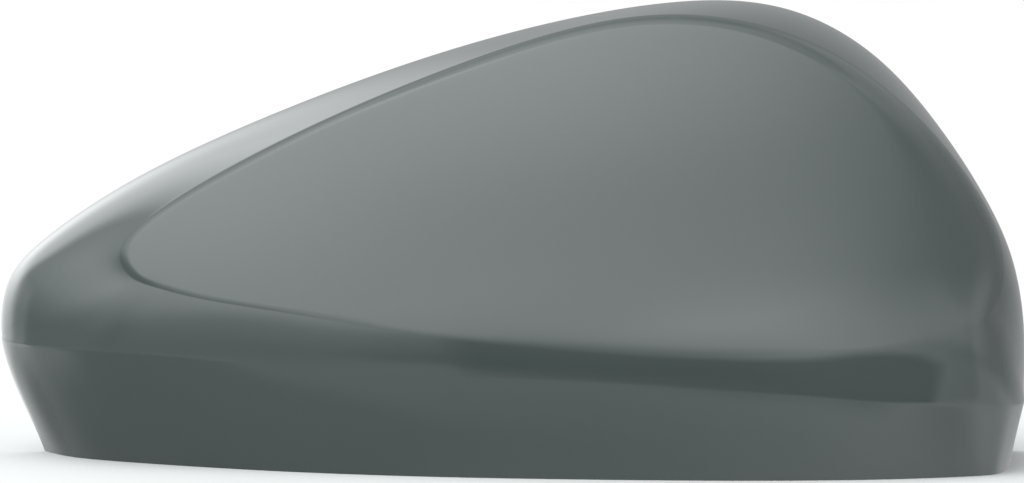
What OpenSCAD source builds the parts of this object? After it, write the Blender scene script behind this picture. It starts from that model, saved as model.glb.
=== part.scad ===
// Outer cover of a car wing mirror: one injection moulded shell, open at the rear and at the bottom.
// It stands on its bottom edge. X runs along the mirror, Y to the rear rim, Z up.

/* [Cover] */
// Length from the thin inner tip to the blunt outer end
cover_length = 225; // [200:1:250]
// Height from the bottom edge to the crown
cover_height = 99.5; // [90:0.5:112]
// Depth from the nose to the rear rim
cover_depth = 72.5; // [64:0.5:80]
// Thickness of the moulded wall
wall = 2.5; // [2:0.1:3]

/* [Locating pegs] */
// Radius of each locating peg
peg_radius = 3; // [2.5:0.1:4]
// Length of the peg's straight shank beyond its boss
peg_length = 12; // [8:0.5:15]
// Radius of the boss that carries a peg
boss_radius = 5.5; // [5:0.1:7]
// Distance from the pegs' tips forward of the rear rim
peg_setback = 14; // [10:0.5:20]

/* [Snap hooks] */
// Width of each snap hook
hook_width = 10; // [6:0.5:14]
// Thickness of a hook's spring tongue
hook_thickness = 1.7; // [1.3:0.1:2.2]
// How far the barb stands out from its tongue
barb_height = 1.9; // [1.2:0.1:2.5]
// Length of the barb along the tongue
barb_length = 7; // [5:0.5:9]

/* [Ribs] */
// Thickness of the gusset ribs under the upper crease
rib_thickness = 1.6; // [1.2:0.1:2]
// Reach of a gusset rib along the inside of the face
rib_reach = 17; // [12:0.5:22]

/* [Hidden] */

paint = [0.34, 0.37, 0.37];

// Sizes of the drawing that the control points below were taken from.
drawn_rear = 70;
// Columns drawn between one control station and the next.
columns_per_station = 4;

// Control stations round the shell, counter-clockwise from the inner end of the character line.
// Each row: x and z on the face's crease, x and z on the rear rim, four handles of the flank's
// profile, how far the crease is rounded, and how far the flank lies below the lip of the face.
// Rim points under the cover only guide the flank.
stations = [
    [-80.8, 41.6, -112.2,  25.0, 0.40,  0.20, 0.97,  0.36,  2.0, 0.40],
    [-77.6, 40.1, -110.2,  13.0, 0.38,  0.15, 0.98,  0.32,  2.0, 0.33],
    [-73.0, 38.8, -104.5,   1.0, 0.36,  0.10, 1.00,  0.28,  1.9, 0.25],
    [-63.5, 36.9,  -90.5,  -7.0, 0.34,  0.05, 1.00,  0.23,  1.8, 0.18],
    [-47.5, 34.8,  -68.0,  -9.5, 0.33,  0.00, 1.00,  0.15,  1.8, 0.12],
    [-26.0, 32.1,  -42.0, -11.0, 0.32, -0.03, 1.00,  0.10,  2.0, 0.05],
    [ -3.0, 29.8,  -14.0, -12.0, 0.32, -0.03, 1.00,  0.08,  2.4, 0.00],
    [ 20.5, 28.0,   14.0, -12.5, 0.32, -0.03, 1.00,  0.06,  2.8, 0.00],
    [ 43.0, 27.0,   41.0, -12.5, 0.33, -0.03, 1.00,  0.06,  3.0, 0.00],
    [ 63.0, 26.7,   66.5, -12.0, 0.35, -0.02, 1.00,  0.06,  3.2, 0.00],
    [ 78.5, 27.3,   90.0, -10.0, 0.42,  0.00, 0.99,  0.09,  4.5, 0.00],
    [ 88.0, 30.0,  106.8,  -3.5, 0.50,  0.01, 0.98,  0.14,  6.5, 0.03],
    [ 93.5, 34.8,  111.6,   5.0, 0.56,  0.02, 0.97,  0.24,  9.0, 0.05],
    [ 96.5, 41.0,  112.1,  13.0, 0.60,  0.04, 0.96,  0.38, 12.0, 0.05],
    [ 98.0, 50.0,  112.3,  26.5, 0.61,  0.07, 0.94,  0.46, 13.0, 0.02],
    [ 96.2, 59.5,  109.8,  42.3, 0.60,  0.10, 0.93,  0.50, 12.0, 0.00],
    [ 90.6, 69.0,  103.4,  57.0, 0.56,  0.13, 0.92,  0.53,  9.0, 0.00],
    [ 81.5, 79.0,   94.0,  71.6, 0.52,  0.16, 0.92,  0.55,  5.5, 0.03],
    [ 68.5, 88.5,   80.5,  86.7, 0.50,  0.21, 0.91,  0.58,  3.8, 0.06],
    [ 51.5, 95.3,   62.5,  97.0, 0.48,  0.25, 0.90,  0.62,  2.8, 0.08],
    [ 31.0, 97.4,   41.0,  99.5, 0.46,  0.27, 0.90,  0.64,  2.4, 0.08],
    [  9.0, 93.7,   15.0,  96.0, 0.45,  0.28, 0.90,  0.66,  2.3, 0.08],
    [-14.0, 85.9,  -12.0,  89.1, 0.45,  0.27, 0.90,  0.64,  2.3, 0.08],
    [-38.0, 75.7,  -38.0,  80.2, 0.45,  0.26, 0.90,  0.62,  2.3, 0.08],
    [-59.0, 65.0,  -62.5,  70.2, 0.44,  0.25, 0.90,  0.58,  2.3, 0.10],
    [-74.5, 55.6,  -84.5,  59.3, 0.42,  0.24, 0.89,  0.52,  2.2, 0.20],
    [-82.6, 48.6, -102.0,  47.6, 0.40,  0.23, 0.90,  0.46,  2.1, 0.35],
    [-83.3, 44.3, -110.8,  37.3, 0.39,  0.22, 0.92,  0.40,  2.0, 0.40]
];

// Skirt rows for the first stations: x and setback of the bottom edge, height of the character line.
skirt_rows = [
    [-102.8, 70.0, 25.0],
    [ -95.6, 55.4, 25.1],
    [ -83.6, 43.8, 24.9],
    [ -67.5, 32.4, 24.5],
    [ -49.5, 21.8, 23.8],
    [ -27.5, 12.6, 23.1],
    [  -4.5,  6.4, 22.3],
    [  19.5,  2.5, 21.3],
    [  42.5,  0.5, 20.0],
    [  63.0,  0.9, 18.5],
    [  82.0,  4.2, 16.8],
    [  97.5, 10.6, 15.2],
    [ 105.3, 23.5, 14.0],
    [ 110.3, 70.0, 13.0]
];

// The skirt swells by this much below the character line, most at the inner tip.
skirt_swell = 1.6;
// The character line is softened over this distance above and below it, outside and inside.
line_softness = 0.7;
inner_line_softness = 2.2;
// The line sharpens and the lip settles over these shares of a station and of the flank.
soft_ends = 0.5;
lip_fade = 0.6;

// The face is a shallow bowl seen from behind: nose position, sweep, lean and bulge.
nose_x = 48;
nose_setback = -2.3;
face_sweep = 0.00174;
face_wrap = 0.00003;
face_lean = 0.17;
face_bulge = 0.0025;
face_foot = 26;
face_centre = [10, 56];

function unit(v) = v / norm(v);
function eased(f) = let (g = min(max(f, 0), 1)) g * g * (3 - 2 * g);

// Splines: control rows whose cubic spline passes through the given rows.
function looped(rows, i) = rows[(i + len(rows)) % len(rows)];
function loop_pull(rows, ctrl, i) =
    rows[i] - (looped(ctrl, i - 1) + 4 * ctrl[i] + looped(ctrl, i + 1)) / 6;
function loop_spline(rows, ctrl, turns) =
    turns == 0 ? ctrl
    : loop_spline(rows, [for (i = [0:len(rows) - 1]) ctrl[i] + 1.5 * loop_pull(rows, ctrl, i)], turns - 1);
function open_row(ctrl, i) =
    i < 0 ? 2 * ctrl[0] - ctrl[1]
    : i >= len(ctrl) ? 2 * ctrl[len(ctrl) - 1] - ctrl[len(ctrl) - 2]
    : ctrl[i];
function open_pull(rows, ctrl, i) =
    rows[i] - (open_row(ctrl, i - 1) + 4 * ctrl[i] + open_row(ctrl, i + 1)) / 6;
function open_spline(rows, ctrl, turns) =
    turns == 0 ? ctrl
    : open_spline(rows, [for (i = [0:len(rows) - 1]) ctrl[i] + 1.5 * open_pull(rows, ctrl, i)], turns - 1);
function mix4(a, b, c, d, f) =
    (pow(1 - f, 3) * a + (3 * f * f * f - 6 * f * f + 4) * b
    + (-3 * f * f * f + 3 * f * f + 3 * f + 1) * c + f * f * f * d) / 6;
function on_loop(ctrl, t) =
    let (i = floor(t))
    mix4(looped(ctrl, i - 1), looped(ctrl, i), looped(ctrl, i + 1), looped(ctrl, i + 2), t - i);
function on_open(ctrl, t) =
    let (i = min(floor(t), len(ctrl) - 2))
    mix4(open_row(ctrl, i - 1), ctrl[i], ctrl[i + 1], open_row(ctrl, i + 2), t - i);

station_ctrl = loop_spline(stations, stations, 24);
skirt_ctrl = open_spline(skirt_rows, skirt_rows, 24);
station_count = len(stations);
skirt_end = len(skirt_rows) - 1;

// Drawing space: [x, setback, z].
function face_setback(x, z) =
    nose_setback + face_sweep * pow(x - nose_x, 2) + face_wrap * pow(max(0, x - nose_x), 3)
    + face_lean * (z - face_foot) + face_bulge * pow(z - face_foot, 2);
function on_face(p) = [p[0], face_setback(p[0], p[1]), p[1]];
function bezier(a, b, c, d, v) =
    pow(1 - v, 3) * a + 3 * v * pow(1 - v, 2) * b + 3 * v * v * (1 - v) * c + v * v * v * d;
function bezier_slope(a, b, c, d, v) =
    3 * pow(1 - v, 2) * (b - a) + 6 * v * (1 - v) * (c - b) + 3 * v * v * (d - c);

// The four points that steer the flank's profile at one place. Across the rim's outline the profile
// follows the row's handles, and along it the profile keeps an even pace.
function flank_handles(t) =
    let (r = on_loop(station_ctrl, t))
    let (before = on_loop(station_ctrl, t - 0.02))
    let (after = on_loop(station_ctrl, t + 0.02))
    let (along = unit([after[2] - before[2], 0, after[3] - before[3]]))
    let (across = [along[2], 0, -along[0]])
    let (a = on_face([r[0], r[1]]))
    let (d = [r[2], drawn_rear, r[3]])
    let (out = ((d - a) * across) * across)
    let (slip = ((d - a) * along) * along)
    let (rise = [0, d[1] - a[1], 0])
    [a, a + r[4] * out + slip / 3 + r[5] * rise, a + r[6] * out + 2 * slip / 3 + r[7] * rise, d];
function flank(h, v) = bezier(h[0], h[1], h[2], h[3], v);
function flank_slope(h, v) = bezier_slope(h[0], h[1], h[2], h[3], v);

function line_height(t) = on_open(skirt_ctrl, t)[2];
function cut_at(h, z, low, high, turns) =
    turns == 0 ? (low + high) / 2
    : flank(h, (low + high) / 2)[2] > z ? cut_at(h, z, (low + high) / 2, high, turns - 1)
    : cut_at(h, z, low, (low + high) / 2, turns - 1);
function flank_end(h, t) = (t <= 0 || t >= skirt_end) ? 1 : cut_at(h, line_height(t), 0, 1, 26);
function line_share(t) = eased(t / soft_ends) * eased((skirt_end - t) / soft_ends);
function mixed(a, b, share) = (1 - share) * a + share * b;
function face_inward(p) = unit([
    -2 * face_sweep * (p[0] - nose_x) - 3 * face_wrap * pow(max(0, p[0] - nose_x), 2),
    1,
    -face_lean - 2 * face_bulge * (p[1] - face_foot)
]);

// One column of the shell's upper body, from near the face's middle out to its edge: face, rounded
// crease, flank. The flank starts a little below the lip of the face and rises back to its own line.
face_steps = [for (k = [1:6]) k / 6];
round_steps = [0.25, 0.5, 0.75];
flank_steps = [0, 0.08, 0.2, 0.34, 0.5, 0.66, 0.8, 0.91, 1];
last_step = 0.12;
widest_step = 0.4;
function upper_column(t, least_round, softness) =
    let (r = on_loop(station_ctrl, t))
    let (h = flank_handles(t))
    let (edge = [r[0], r[1]])
    let (inward = unit(face_centre - edge))
    let (round = max(r[8], least_round))
    let (sink = (least_round > 0 ? 0 : max(r[9], 0)) * face_inward(edge))
    let (start = on_face(edge + round * inward))
    let (probe = on_face(edge + (round - 0.01) * inward))
    let (v_end = flank_end(h, t))
    let (v_start = min(0.45 * v_end, round / (3 * norm(h[1] - h[0]))))
    let (room = v_end - v_start)
    let (v_step = mixed(last_step * room, softness / norm(flank_slope(h, v_end)), line_share(t)))
    let (v_line = v_end - min(v_step, widest_step * room))
    let (stop = flank(h, v_start))
    let (a = start + 0.6 * norm(h[0] - start) * unit(probe - start))
    let (b = stop - 0.6 * norm(h[0] - stop) * unit(flank_slope(h, v_start)))
    concat(
        [for (f = face_steps) on_face(face_centre + f * (edge + round * inward - face_centre))],
        [for (f = round_steps) bezier(start, a, b, stop, f) + f * f * sink],
        [
            for (f = flank_steps)
            flank(h, mixed(v_start, v_line, f)) + (1 - eased(f / lip_fade)) * sink
        ],
        [flank(h, v_end)]
    );
function foot_point(t) =
    let (r = on_open(skirt_ctrl, t))
    [r[0], r[1], 0];
skirt_steps = [0, 0.3, 0.65, 1];
function skirt_out(t) =
    let (run = foot_point(min(t + 0.01, skirt_end)) - foot_point(max(t - 0.01, 0)))
    unit(mixed([-1, 0, 0], unit([run[1], -run[0], 0]), eased(t / 0.4)));
function skirt_column(t, top, softness) =
    let (foot = foot_point(t))
    let (first = mixed(last_step, softness / norm(foot - top), line_share(t)))
    [
        for (step = skirt_steps)
        let (f = mixed(first, 1, step))
        mixed(top, foot, f) + skirt_swell * pow(1 - t / skirt_end, 2) * 4 * f * pow(1 - f, 2) * skirt_out(t)
    ];

// Softens the character line: its corner moves onto a smooth bridge between its neighbours.
bridge_pull = 0.62;
function bridged(above, corner, below, share) =
    mixed(corner, bezier(
        above, mixed(above, corner, bridge_pull), mixed(below, corner, bridge_pull), below, 0.5
    ), share);
function full_column(t, least_round, softness) =
    let (up = upper_column(t, least_round, softness))
    let (corner = up[upper_rings - 1])
    let (down = skirt_column(t, corner, softness))
    concat(
        [for (j = [0:upper_rings - 2]) up[j]],
        [bridged(up[upper_rings - 2], corner, down[0], line_share(t))],
        down
    );

columns = station_count * columns_per_station;
skirt_columns = skirt_end * columns_per_station;
upper_rings = len(face_steps) + len(round_steps) + len(flank_steps) + 1;
skirt_rings = len(skirt_steps);

// Drawn points, then scaled so that the finished box has exactly the asked length, depth and height.
function drawn_columns(least_round, softness) = [
    for (i = [0:columns - 1])
    let (t = i / columns_per_station)
    i <= skirt_columns ? full_column(t, least_round, softness) : upper_column(t, least_round, softness)
];
outer_drawn = drawn_columns(0, line_softness);
function all_values(grid, axis) = [for (c = grid) for (p = c) p[axis]];
drawn_low = [min(all_values(outer_drawn, 0)), min(all_values(outer_drawn, 1)), 0];
drawn_high = [max(all_values(outer_drawn, 0)), drawn_rear, max(all_values(outer_drawn, 2))];
drawn_middle = (drawn_low + drawn_high) / 2;
drawn_size = drawn_high - drawn_low;
function seat(p) = [
    (p[0] - drawn_middle[0]) * cover_length / drawn_size[0],
    (p[1] - drawn_middle[1]) * cover_depth / drawn_size[1],
    p[2] * cover_height / drawn_size[2]
];
function seat_grid(grid) = [for (c = grid) [for (p = c) seat(p)]];

outer_grid = seat_grid(outer_drawn);
outer_middle = seat(on_face(face_centre));

// The inner surface lies one wall inside an outer surface whose crease is rounded a little more.
inner_round = 1.7 * wall;
guide_grid = seat_grid(drawn_columns(inner_round, inner_line_softness));
function on_rear(i, j) =
    j == upper_rings - 1 ? i >= skirt_columns || i == 0
    : j >= upper_rings && (i == 0 || i == skirt_columns);
function on_foot(j) = j == upper_rings + skirt_rings - 1;
function outward(grid, i, j) =
    let (n = len(grid))
    let (before = grid[(i + n - 1) % n])
    let (after = grid[(i + 1) % n])
    let (left = j < len(before) ? before[j] : grid[i][j])
    let (right = j < len(after) ? after[j] : grid[i][j])
    let (nearer = j == 0 ? outer_middle : grid[i][j - 1])
    let (farther = j + 1 < len(grid[i]) ? grid[i][j + 1] : grid[i][j])
    unit(cross(farther - nearer, right - left));
function kept(n, i, j) = [
    n[0],
    on_rear(i, j) ? 0 : n[1],
    on_foot(j) ? 0 : n[2]
];
function inset(grid, i, j, depth) =
    let (n = outward(grid, i, j))
    let (m = kept(n, i, j))
    grid[i][j] - depth * m / (m * m);
inner_grid = [
    for (i = [0:columns - 1])
    [for (j = [0:len(guide_grid[i]) - 1]) inset(guide_grid, i, j, wall)]
];
face_normal = outward(guide_grid, 0, 0);
inner_middle = outer_middle + [0, wall / abs(face_normal[1]), 0];

// Numbering of the shell's points: outer middle, outer upper body, outer skirt, then the same inside.
upper_total = columns * upper_rings;
skirt_total = (skirt_columns + 1) * skirt_rings;
side_total = 1 + upper_total + skirt_total;
function place(side, i, j) =
    side * side_total + (j < upper_rings
        ? 1 + (i % columns) * upper_rings + j
        : 1 + upper_total + i * skirt_rings + j - upper_rings);
function side_points(middle, grid) = concat(
    [middle],
    [for (c = grid) for (j = [0:upper_rings - 1]) c[j]],
    [for (i = [0:skirt_columns]) for (j = [0:skirt_rings - 1]) grid[i][upper_rings + j]]
);
function quad(a, b, c, d) = [[a, b, c], [a, c, d]];
function cell(side, i, j) =
    quad(place(side, i, j), place(side, i, j + 1), place(side, i + 1, j + 1), place(side, i + 1, j));
function turned(faces) = [for (f = faces) [f[2], f[1], f[0]]];
function side_faces(side) = concat(
    [for (i = [0:columns - 1]) [side * side_total, place(side, i, 0), place(side, i + 1, 0)]],
    [for (i = [0:columns - 1]) for (j = [0:upper_rings - 2])
        each cell(side, i, j)],
    [for (i = [0:skirt_columns - 1]) for (j = [upper_rings - 1:upper_rings + skirt_rings - 2])
        each cell(side, i, j)]
);
last_ring = upper_rings + skirt_rings - 1;
rear_faces = [
    for (i = [skirt_columns:columns - 1])
    each quad(place(0, i, upper_rings - 1), place(1, i, upper_rings - 1),
        place(1, i + 1, upper_rings - 1), place(0, i + 1, upper_rings - 1))
];
tip_faces = [
    for (j = [upper_rings - 1:last_ring - 1])
    each quad(place(0, 0, j), place(1, 0, j), place(1, 0, j + 1), place(0, 0, j + 1))
];
end_faces = [
    for (j = [upper_rings - 1:last_ring - 1])
    each quad(place(0, skirt_columns, j + 1), place(1, skirt_columns, j + 1),
        place(1, skirt_columns, j), place(0, skirt_columns, j))
];
foot_faces = [
    for (i = [0:skirt_columns - 1])
    each quad(place(0, i, last_ring), place(1, i, last_ring),
        place(1, i + 1, last_ring), place(0, i + 1, last_ring))
];

module shell() {
    polyhedron(
        points = concat(side_points(outer_middle, outer_grid), side_points(inner_middle, inner_grid)),
        faces = concat(
            turned(side_faces(0)), side_faces(1), turned(concat(rear_faces, tip_faces, end_faces, foot_faces))
        )
    );
}

// Places along the shell, in stations, of what is moulded on its inside.
hook_places = [14.7, 17.3, 20.3, 22.6, 24.8];
rib_places = [19.5, 21.1, 21.8, 23.4, 24.0];
tab_places = [3.6, 6.5, 9.4];
peg_places = [[-36, 52], [60, 60]];

// A frame at a point: local x inward from the shell's outline, local y to the rear.
function framed(at, inward) = [
    [inward[0], 0, -inward[2], at[0]],
    [0, 1, 0, at[1]],
    [inward[2], 0, inward[0], at[2]],
    [0, 0, 0, 1]
];
function rim_at(t) = seat(flank(flank_handles(t), 1));
function crease_at(t) = seat(flank(flank_handles(t), 0));
function left_of(run) = unit([-run[2], 0, run[0]]);
function depth_at(h, s, low, high, turns) =
    turns == 0 ? (low + high) / 2
    : flank(h, (low + high) / 2)[1] < s ? depth_at(h, s, (low + high) / 2, high, turns - 1)
    : depth_at(h, s, low, (low + high) / 2, turns - 1);
function face_y(x, z) = seat(on_face([
    x * drawn_size[0] / cover_length + drawn_middle[0],
    z * drawn_size[2] / cover_height
]))[1];
rear_y = cover_depth / 2;
buried = 0.55 * wall;

// Snap hook: a root on the flank, a spring tongue along the draw and a barb near its end.
hook_root_setback = 50;
hook_gap = 2.6;
hook_root = 3.5;
hook_end_gap = 1;
catch_slope = 2;
barb_nose = 0.2;
module hook(t) {
    h = flank_handles(t);
    at = seat(flank(h, depth_at(h, hook_root_setback, 0, 1, 20)));
    run = rear_y - at[1] - hook_end_gap;
    near = wall + hook_gap;
    far = near + hook_thickness;
    multmatrix(framed(at, left_of(rim_at(t + 0.05) - rim_at(t - 0.05))))
        linear_extrude(hook_width, center = true)
            polygon([
                [buried, 0],
                [far, 0],
                [far, run - barb_length],
                [far + barb_height, run - barb_length + catch_slope],
                [far + barb_nose, run],
                [near, run],
                [near, hook_root],
                [buried, hook_root]
            ]);
}

// Gusset rib in the corner under the upper crease.
rib_flank_steps = [0.3, 0.5];
rib_edge = 1;
module rib(t) {
    h = flank_handles(t);
    at = crease_at(t);
    inward = left_of(crease_at(t + 0.05) - crease_at(t - 0.05));
    face_line = [
        for (d = [rib_reach, rib_reach / 2, 0.6 * wall])
        [d, face_y(at[0] + d * inward[0], at[2] + d * inward[2]) - at[1] + buried]
    ];
    flank_line = [
        for (v = rib_flank_steps)
        let (p = seat(flank(h, v)) - at)
        [p * inward + buried, p[1]]
    ];
    toe = flank_line[1];
    multmatrix(framed(at, inward))
        linear_extrude(rib_thickness, center = true)
            polygon(concat(face_line, flank_line, [
                [toe[0] + wall + rib_edge, toe[1]],
                [rib_reach, face_line[0][1] + wall + rib_edge]
            ]));
}

// Locating tab: a flat tongue that reaches rearwards from the inside of the skirt.
tab_height = 6;
tab_thickness = 2;
tab_reach = 9;
tab_half_width = 0.22;
function skirt_middle(t) =
    let (h = flank_handles(t))
    let (top = flank(h, flank_end(h, t)))
    let (p = seat(top + (1 - tab_height / seat(top)[2]) * (foot_point(t) - top)))
    [p[0], p[1]] - buried * [skirt_out(t)[0], skirt_out(t)[1]];
module tab(t) {
    root = [for (k = [-1:0.5:1]) skirt_middle(t + k * tab_half_width)];
    tip = [for (k = [4, 0]) [root[k][0], root[2][1] + wall + tab_reach]];
    translate([0, 0, tab_height - tab_thickness / 2])
        linear_extrude(tab_thickness)
            polygon(concat(root, tip));
}

// Locating peg: a tapered boss on the face with four fins, and a round shank that points rearwards.
boss_sides = 24;
boss_shoulder = 0.8;
fin_reach = 5;
fin_drop = 3;
fin_shoulder = 0.6;
peg_tip_y = rear_y - peg_setback;
peg_foot_y = peg_tip_y - peg_length;
module boss(x, z) {
    top_radius = max(0.8 * boss_radius, peg_radius + boss_shoulder);
    base = [
        for (k = [0:boss_sides - 1])
        let (a = x + boss_radius * cos(360 * k / boss_sides))
        let (b = z + boss_radius * sin(360 * k / boss_sides))
        [a, face_y(a, b) + buried, b]
    ];
    top = [
        for (k = [0:boss_sides - 1])
        [x + top_radius * cos(360 * k / boss_sides), peg_foot_y, z + top_radius * sin(360 * k / boss_sides)]
    ];
    polyhedron(
        points = concat([[x, face_y(x, z) + buried, z], [x, peg_foot_y, z]], base, top),
        faces = [
            for (k = [0:boss_sides - 1])
            let (a = 2 + k)
            let (b = 2 + (k + 1) % boss_sides)
            each [
                [0, b, a],
                [1, a + boss_sides, b + boss_sides],
                [a, b, b + boss_sides],
                [a, b + boss_sides, a + boss_sides]
            ]
        ]
    );
}
module fin(x, z, way) {
    reach = boss_radius + fin_reach;
    out = [cos(way), 0, sin(way)];
    root = [
        for (d = [0, reach / 2, reach])
        [d, face_y(x + d * out[0], z + d * out[2]) + buried]
    ];
    multmatrix(framed([x, 0, z], out))
        linear_extrude(rib_thickness, center = true)
            polygon(concat(root, [
                [reach, root[2][1] + wall],
                [peg_radius + fin_shoulder, peg_foot_y - fin_drop],
                [0, peg_foot_y - fin_drop]
            ]));
}
module peg(place) {
    spot = seat(on_face(place));
    boss(spot[0], spot[2]);
    for (way = [45:90:315])
        fin(spot[0], spot[2], way);
    translate([spot[0], peg_foot_y - 1, spot[2]])
        rotate([-90, 0, 0])
            cylinder(r = peg_radius, h = peg_length + 1, $fn = 48);
}

module mirror_cover() {
    color(paint)
        union() {
            shell();
            for (t = hook_places)
                hook(t);
            for (t = rib_places)
                rib(t);
            for (t = tab_places)
                tab(t);
            for (place = peg_places)
                peg(place);
        }
}

mirror_cover();
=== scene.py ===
# %% [markdown]
# # A painted wing mirror cover
# The cover is one thin moulding, about the size of a hand, that clips over a car's wing mirror.
# It has a flat shield-shaped face, a tight crease round that face, a deep flank that runs back
# to the rim, and a skirt under a soft character line. Gloss paint makes every one of these shapes
# readable, so the work here goes into smooth surfaces and into what they reflect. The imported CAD
# model is the frame: the smooth shell below takes its place and fills the same box.

# %% Load the frame
import math

import bmesh
import bpy
import numpy as np
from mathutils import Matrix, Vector


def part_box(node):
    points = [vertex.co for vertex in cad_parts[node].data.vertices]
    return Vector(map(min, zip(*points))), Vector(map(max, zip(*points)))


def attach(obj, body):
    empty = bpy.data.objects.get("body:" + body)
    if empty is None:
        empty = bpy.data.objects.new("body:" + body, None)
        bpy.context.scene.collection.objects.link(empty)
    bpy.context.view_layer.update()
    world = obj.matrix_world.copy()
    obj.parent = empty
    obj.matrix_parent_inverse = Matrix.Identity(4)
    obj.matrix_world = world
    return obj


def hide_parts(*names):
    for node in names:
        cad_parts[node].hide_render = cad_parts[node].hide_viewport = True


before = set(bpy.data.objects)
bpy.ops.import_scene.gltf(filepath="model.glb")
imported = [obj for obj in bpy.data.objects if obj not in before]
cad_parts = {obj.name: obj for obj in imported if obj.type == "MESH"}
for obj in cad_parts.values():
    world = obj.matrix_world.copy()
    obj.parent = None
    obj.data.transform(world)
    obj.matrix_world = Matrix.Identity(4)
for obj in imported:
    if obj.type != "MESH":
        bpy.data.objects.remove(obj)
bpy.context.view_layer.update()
NODE = "mirror_cover"
MM = 0.001
low, high = (np.array(corner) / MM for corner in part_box(NODE))
print("CAD box in mm:", low.round(2), high.round(2))

# %% [markdown]
# ## Camera
# The photograph was taken from well in front of the cover, almost level with it, through a long
# lens: the bottom edge bows only a little. A camera 1.4 m away that looks down by 3.4 degrees
# gives the same small bow, and the lens follows from the width of the view at that distance.

# %% Place the camera
CAMERA_DISTANCE = 1400.0
CAMERA_FALL = math.radians(3.36)
VIEW_WIDTH = 214.5
AIM_HEIGHT = 50.6

camera_data = bpy.data.cameras.new("product_camera")
camera = bpy.data.objects.new("product_camera", camera_data)
bpy.context.scene.collection.objects.link(camera)
bpy.context.scene.camera = camera
aim = Vector((0.0, low[1], AIM_HEIGHT)) * MM
back = Vector((0.0, -math.cos(CAMERA_FALL), math.sin(CAMERA_FALL)))
camera.location = aim + back * CAMERA_DISTANCE * MM
camera.rotation_euler = (-back).to_track_quat("-Z", "Y").to_euler()
camera_data.sensor_width = 36.0
camera_data.lens = camera_data.sensor_width * CAMERA_DISTANCE / VIEW_WIDTH
camera_data.clip_start = 0.05
camera_data.clip_end = 50.0
print("lens", round(camera_data.lens, 1), "mm")

# %% [markdown]
# ## The drawing
# A maker would draw such a shell as a set of stations round it. Each station says where the
# crease of the face is, where the rear rim is, how the flank swells between them and how far the
# crease is rounded. The skirt under the character line has its own shorter list. A spline
# through the stations gives every place between them, so a few rows hold the whole shape.

# %% Stations of the shell, in millimetres
DRAWN_REAR = 70.0
# x and z on the crease, x and z on the rim, four handles of the flank, rounding of the crease,
# and how far the shoulder lies below the lip of the face
STATIONS = np.array([
    (-80.4, 41.6, -112.2, 25.0, 0.40, 0.15, 0.97, 0.36, 1.2, 0.25),
    (-77.6, 40.4, -110.2, 13.0, 0.38, 0.09, 0.98, 0.32, 1.1, 0.18),
    (-73.0, 39.2, -104.5, 1.0, 0.36, 0.045, 1.00, 0.28, 1.0, 0.12),
    (-63.5, 37.3, -90.5, -7.0, 0.34, 0.012, 1.00, 0.23, 0.9, 0.08),
    (-47.5, 35.2, -68.0, -9.5, 0.33, -0.01, 1.00, 0.15, 0.9, 0.05),
    (-26.0, 32.4, -42.0, -11.0, 0.32, -0.03, 1.00, 0.10, 1.3, 0.02),
    (-3.0, 29.8, -14.0, -12.0, 0.32, -0.03, 1.00, 0.08, 2.1, 0.0),
    (20.5, 28.0, 14.0, -12.5, 0.32, -0.03, 1.00, 0.06, 2.8, 0.0),
    (43.0, 27.0, 41.0, -12.5, 0.33, -0.03, 1.00, 0.04, 3.0, 0.0),
    (63.0, 26.7, 66.5, -12.0, 0.35, -0.02, 1.00, -0.01, 3.2, 0.0),
    (78.5, 27.3, 90.0, -10.0, 0.42, 0.00, 0.99, -0.01, 3.2, 0.0),
    (88.0, 30.0, 106.8, -3.5, 0.50, 0.01, 0.98, 0.04, 3.4, 0.03),
    (93.5, 34.8, 111.6, 5.0, 0.56, 0.02, 0.97, 0.2, 4.5, 0.05),
    (96.5, 41.0, 112.1, 13.0, 0.60, 0.04, 0.96, 0.38, 8.0, 0.05),
    (98.0, 50.0, 112.3, 26.5, 0.61, 0.07, 0.94, 0.46, 11.0, 0.02),
    (96.2, 59.5, 109.8, 42.3, 0.60, 0.10, 0.93, 0.50, 11.0, 0.0),
    (90.6, 69.0, 103.4, 57.0, 0.56, 0.13, 0.92, 0.53, 9.0, 0.0),
    (81.5, 79.0, 94.0, 71.6, 0.52, 0.16, 0.92, 0.55, 5.5, 0.03),
    (68.5, 88.5, 80.5, 86.7, 0.50, 0.21, 0.91, 0.58, 3.8, 0.06),
    (51.5, 95.3, 62.5, 97.0, 0.48, 0.25, 0.90, 0.62, 2.8, 0.08),
    (31.0, 97.4, 41.0, 99.5, 0.46, 0.27, 0.90, 0.64, 2.4, 0.08),
    (9.0, 93.7, 15.0, 96.0, 0.45, 0.28, 0.90, 0.66, 2.3, 0.08),
    (-14.0, 85.9, -12.0, 89.1, 0.45, 0.27, 0.90, 0.64, 2.3, 0.08),
    (-38.0, 75.7, -38.0, 80.2, 0.45, 0.26, 0.90, 0.62, 2.3, 0.08),
    (-59.0, 65.0, -62.5, 70.2, 0.44, 0.25, 0.90, 0.58, 2.3, 0.1),
    (-74.5, 55.6, -84.5, 59.3, 0.42, 0.24, 0.89, 0.52, 1.8, 0.2),
    (-82.2, 48.6, -102.0, 47.6, 0.40, 0.23, 0.90, 0.46, 1.5, 0.25),
    (-82.8, 44.3, -110.8, 37.3, 0.39, 0.22, 0.92, 0.40, 1.3, 0.25),
])
# the columns of a station; a handle says how far it reaches outwards and how far back
CREASE_X, CREASE_Z, RIM_X, RIM_Z, OUT_1, BACK_1, OUT_2, BACK_2, ROUNDING, LIP = range(10)
STATION_COUNT = len(STATIONS)
print(STATION_COUNT, "stations go round the shell")

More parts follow.
